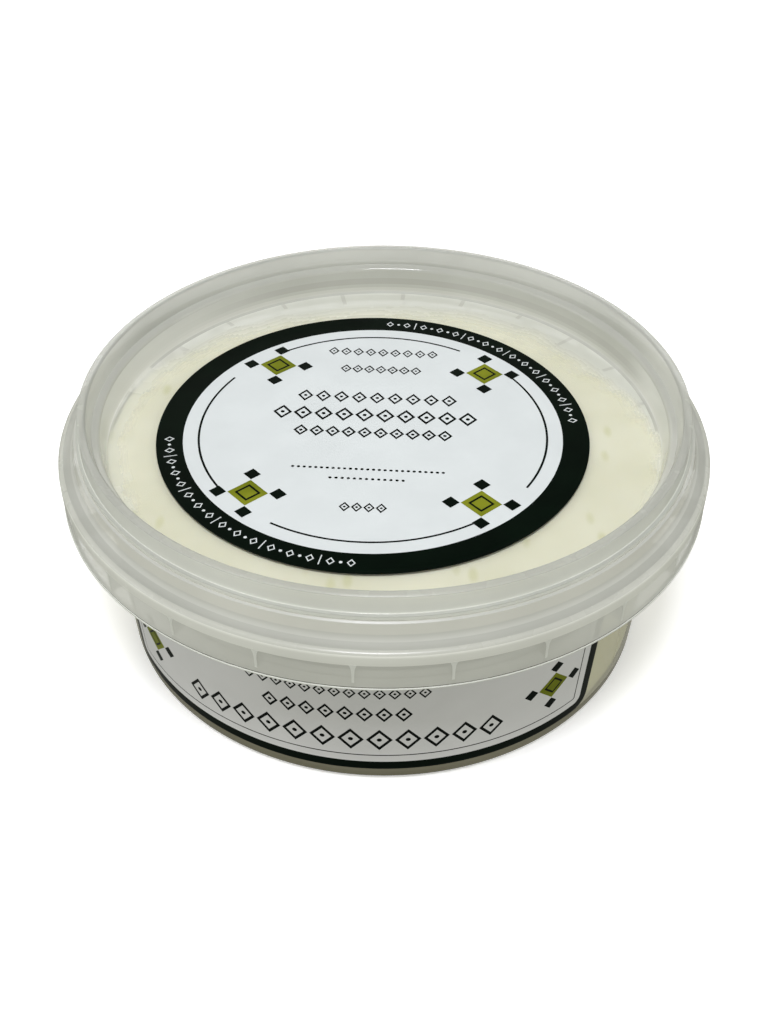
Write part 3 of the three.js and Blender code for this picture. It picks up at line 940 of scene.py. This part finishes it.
class Print:
    """A label's printed shapes in millimetres on its surface, all made of strips."""

    def __init__(self, surface):
        self.surface = surface
        self.vertices = []
        self.faces = []
        self.inks = []

    def strip(self, ink, layer, places, low, high):
        """Fills between two edges, each a function of the place along the strip."""
        first = len(self.vertices)
        for place in places:
            self.vertices.append(self.surface(place, low(place), layer))
            self.vertices.append(self.surface(place, high(place), layer))
        for step in range(len(places) - 1):
            start = first + 2 * step
            self.faces.append([start, start + 2, start + 3, start + 1])
            self.inks.append(ink)

    def bar(self, ink, layer, place, across, half_length, half_width):
        places = place + np.linspace(-half_length, half_length, 2 + int(half_length))
        self.strip(ink, layer, places, lambda p: across - half_width, lambda p: across + half_width)

    def dot(self, ink, layer, place, across, radius):
        def rise(p):
            return math.sqrt(max(0.0, radius ** 2 - (p - place) ** 2))
        places = place - radius * np.cos(np.linspace(0, math.pi, DOT_STEPS + 1))
        self.strip(ink, layer, places, lambda p: across - rise(p), lambda p: across + rise(p))

    def lozenge(self, ink, layer, place, across, half_width, half_height):
        def rise(p):
            return half_height * (1 - abs(p - place) / half_width)
        places = place + half_width * np.linspace(-1, 1, LOZENGE_STEPS + 1)
        self.strip(ink, layer, places, lambda p: across - rise(p), lambda p: across + rise(p))

    def open_lozenge(self, ink, layer, place, across, half_width, half_height, stroke):
        """The outline of a lozenge, drawn as an upper and a lower half."""
        inner_height = half_height - stroke * math.hypot(1, half_height / half_width)

        def outer(p):
            return half_height * (1 - abs(p - place) / half_width)

        def inner(p):
            return max(0.0, inner_height - half_height * abs(p - place) / half_width)
        bend = half_width * inner_height / half_height
        places = place + np.concatenate((
            [-half_width], np.linspace(-bend, bend, LOZENGE_STEPS + 1), [half_width]))
        self.strip(ink, layer, places, lambda p: across + inner(p), lambda p: across + outer(p))
        self.strip(ink, layer, places, lambda p: across - outer(p), lambda p: across - inner(p))

    def lozenge_row(self, ink, layer, across, half_length, half_width, half_height, stroke):
        """Open lozenges side by side with a dot in each of them."""
        pitch = ROW_PITCH * half_width
        gaps = max(1, round(2 * (half_length - half_width) / pitch))
        centres = np.linspace(half_width - half_length, half_length - half_width, gaps + 1)
        for centre in centres:
            self.open_lozenge(ink, layer, centre, across, half_width, half_height, stroke)
            self.dot(ink, layer, centre, across, ROW_DOT * stroke)

    def dot_row(self, ink, layer, across, half_length, pitch, radius):
        gaps = round(2 * half_length / pitch)
        for place in np.linspace(-half_length, half_length, gaps + 1):
            self.dot(ink, layer, place, across, radius)

    def tile(self, layer, place, across, size):
        """Ornament: a large lozenge with a small one at each of its four corners."""
        heart, ring, stroke = TILE_HEART * size, TILE_RING * size, TILE_STROKE * size
        petal = TILE_PETAL * size
        self.lozenge(OLIVE, layer, place, across, heart, heart)
        self.open_lozenge(GREEN, layer + 1, place, across, ring, ring, stroke)
        for side in (-1, 1):
            out = TILE_REACH * side * size
            self.lozenge(GREEN, layer, place + out, across, petal, petal)
            self.lozenge(GREEN, layer, place, across + out, petal, petal)


def lid_label_height(layer):
    return LID_LABEL_BOTTOM + LABEL_THICKNESS - LID_LABEL_LAYERS * LAYER + layer * LAYER


def ring_surface(place, across, layer):
    """Round label: place runs round its ring from the back and across is a radius."""
    angle = place / LID_RING_RADIUS
    return (
        LID_LABEL_OFFSET + across * math.sin(angle),
        across * math.cos(angle),
        lid_label_height(layer))


def field_surface(place, across, layer):
    """Round label: place runs to the right and across runs up its slightly turned print."""
    cos, sin = math.cos(LID_LABEL_TURN), math.sin(LID_LABEL_TURN)
    return (
        LID_LABEL_OFFSET + place * cos - across * sin,
        place * sin + across * cos,
        lid_label_height(layer))


def print_lid_ring(sheet):
    """White field, the line round it, and beads on two arcs of the dark ring."""
    length = 2 * math.pi * LID_RING_RADIUS
    sheet.strip(WHITE, 1, np.linspace(0, length, SIDES + 1), lambda p: 0.0, lambda p: LID_FIELD_RADIUS)
    inner = LID_LINE_RADIUS - LID_LINE_WIDTH / 2
    outer = LID_LINE_RADIUS + LID_LINE_WIDTH / 2
    for quarter in range(4):
        middle = quarter / 4 * length
        places = middle + np.linspace(-0.5, 0.5, LINE_STEPS + 1) * LID_LINE_SHARE * length / 4
        sheet.strip(INK, 2, places, lambda p: inner, lambda p: outer)
    for middle in (length / 8, 5 * length / 8):
        for step in range(-LID_BEADS, LID_BEADS + 1):
            place = middle + step * LID_BEAD_PITCH
            if step % LID_BEADS_PER_BAR == 0:
                sheet.bar(WHITE, 2, place, LID_RING_RADIUS, *LID_BEAD_BAR)
            elif step % 2:
                sheet.open_lozenge(WHITE, 2, place, LID_RING_RADIUS, *LID_BEAD_LOZENGE)
            else:
                sheet.dot(WHITE, 2, place, LID_RING_RADIUS, LID_BEAD_DOT)


def print_lid_field(sheet):
    """Rows of lozenges and dots across the field and an ornament in each of its four corners."""
    for row in LID_ROWS:
        sheet.lozenge_row(INK, 2, *row)
    for row in LID_DOT_ROWS:
        sheet.dot_row(INK, 2, *row)
    for side in (-1, 1):
        for end in (-1, 1):
            sheet.tile(3, LID_TILE_PLACE * side, LID_TILE_PLACE * end, LID_TILE_SIZE)


def make_lid_label(colours):
    """A turned disc of film, shifted to its place, with the print on top."""
    base = lid_label_height(0)
    profile = [
        (0, LID_LABEL_BOTTOM), (LID_LABEL_RADIUS, LID_LABEL_BOTTOM), (LID_LABEL_RADIUS, base), (0, base)]
    vertices, faces = turned(profile)
    sheet = Print(ring_surface)
    sheet.vertices = [(x + LID_LABEL_OFFSET, y, z) for x, y, z in vertices]
    sheet.faces = faces
    sheet.inks = [GREEN] * len(faces)
    print_lid_ring(sheet)
    sheet.surface = field_surface
    print_lid_field(sheet)
    piece = mesh_object("lid_label_print", sheet.vertices, sheet.faces, colours, sheet.inks)
    return stands_for(piece, "lid_label")


def wall_surface(place, across, layer):
    """Wall label: place runs along it to the right and across is a height."""
    radius = wall_radius(across) + FILM + layer * LAYER
    angle = SIDE_LABEL_CENTRE + place / SIDE_LABEL_RADIUS
    return (radius * math.sin(angle), -radius * math.cos(angle), across)


def print_side_panel(sheet, ink, layer, inset):
    """A field with rounded corners, its edge the same distance inside the label's all round."""
    corner = max(SIDE_LABEL_CORNER - inset * SIDE_CORNER_SHRINK, SIDE_CORNER_LEAST)
    reach = SIDE_LABEL_HALF_ANGLE * SIDE_LABEL_RADIUS - inset
    ends = reach - corner + corner * np.sin(np.linspace(0, math.pi / 2, CORNER_STEPS + 1))
    straight = np.linspace(corner - reach, reach - corner, SIDE_LABEL_STEPS + 1)[1:-1]

    def drawn_in(place):
        into = max(0.0, abs(place) - (reach - corner))
        return corner - math.sqrt(max(0.0, corner ** 2 - into ** 2))

    sheet.strip(
        ink, layer, np.concatenate((-ends[::-1], straight, ends)),
        lambda p: SIDE_LABEL_BOTTOM + inset + drawn_in(p),
        lambda p: SIDE_LABEL_TOP - inset - drawn_in(p))


def make_side_label(colours):
    """The wall's label, from its dark border in to its white field, and its rows and ornaments."""
    sheet = Print(wall_surface)
    print_side_panel(sheet, GREEN, 0, 0)
    # Its white fields have the shaded white, which is painted shade
    print_side_panel(sheet, SHADED_WALL_WHITE, 1, SIDE_BORDER)
    print_side_panel(sheet, INK, 2, SIDE_LINE_INSET)
    print_side_panel(sheet, SHADED_WALL_WHITE, 3, SIDE_LINE_INSET + SIDE_LINE_WIDTH)
    for row in SIDE_ROWS:
        sheet.lozenge_row(INK, 4, *row)
    for end in (-1, 1):
        sheet.tile(4, SIDE_TILE_PLACE * end, SIDE_TILE_HEIGHT, SIDE_TILE_SIZE)
    piece = mesh_object("side_label_print", sheet.vertices, sheet.faces, colours, sheet.inks)
    return stands_for(piece, "side_label")


# ---------------------------------------------------------------- stage

def make_camera():
    data = bpy.data.cameras.new("camera")
    data.lens = CAMERA_LENS
    data.sensor_width = CAMERA_SENSOR
    data.clip_start = 0.01
    data.clip_end = 20
    camera = bpy.data.objects.new("camera", data)
    bpy.context.scene.collection.objects.link(camera)
    target = Vector((0, 0, CAMERA_TARGET_HEIGHT)) * MM
    back = Vector((0, -math.cos(CAMERA_ELEVATION), math.sin(CAMERA_ELEVATION)))
    camera.location = target + back * CAMERA_DISTANCE * MM
    camera.rotation_euler = (math.pi / 2 - CAMERA_ELEVATION, 0, 0)
    camera.rotation_euler.rotate_axis("Z", CAMERA_ROLL)
    bpy.context.scene.camera = camera


def make_floor():
    corners = ((-1, -1), (1, -1), (1, 1), (-1, 1))
    vertices = [(FLOOR_REACH * x, FLOOR_REACH * y, 0) for x, y in corners]
    floor = mesh_object("floor", vertices, [[0, 1, 2, 3]], [floor_material()])
    floor.visible_diffuse = False
    floor.visible_glossy = False


def make_lamp(name, place, width, power, colour):
    data = bpy.data.lights.new(name, "AREA")
    data.shape = "SQUARE"
    data.size = width
    data.energy = power
    data.color = colour
    lamp = bpy.data.objects.new(name, data)
    lamp.location = place
    lamp.rotation_euler = (Vector(LAMP_AIM) - Vector(place)).to_track_quat("-Z", "Y").to_euler()
    bpy.context.scene.collection.objects.link(lamp)


def make_surroundings():
    """Studio walls as a world: bright round the horizon, dimmer above and below."""
    world = bpy.data.worlds.new("studio")
    world.use_nodes = True
    tree = world.node_tree
    direction = tree.nodes.new("ShaderNodeTexCoord")
    split = tree.nodes.new("ShaderNodeSeparateXYZ")
    height = tree.nodes.new("ShaderNodeMapRange")
    height.inputs["From Min"].default_value = -1
    ramp = tree.nodes.new("ShaderNodeValToRGB")
    stops = ramp.color_ramp.elements
    while len(stops) < len(WORLD_STOPS):
        stops.new(1.0)
    for stop, (place, level) in zip(stops, WORLD_STOPS):
        stop.position = (place + 1) / 2
        stop.color = [level * channel for channel in WORLD_TINT] + [1]
    tree.links.new(direction.outputs["Generated"], split.inputs["Vector"])
    tree.links.new(split.outputs["Z"], height.inputs["Value"])
    tree.links.new(height.outputs["Result"], ramp.inputs["Fac"])
    tree.links.new(ramp.outputs["Color"], tree.nodes["Background"].inputs["Color"])
    bpy.context.scene.world = world


make_camera()
make_tub()
make_lid()
make_dip()
inks = [print_material(*INKS[number]) for number in sorted(INKS)]
make_lid_label(inks)
make_side_label(inks)
make_floor()
for lamp_name, lamp_values in LAMPS.items():
    make_lamp(lamp_name, *lamp_values)
make_surroundings()
bpy.context.scene.view_settings.view_transform = "Standard"
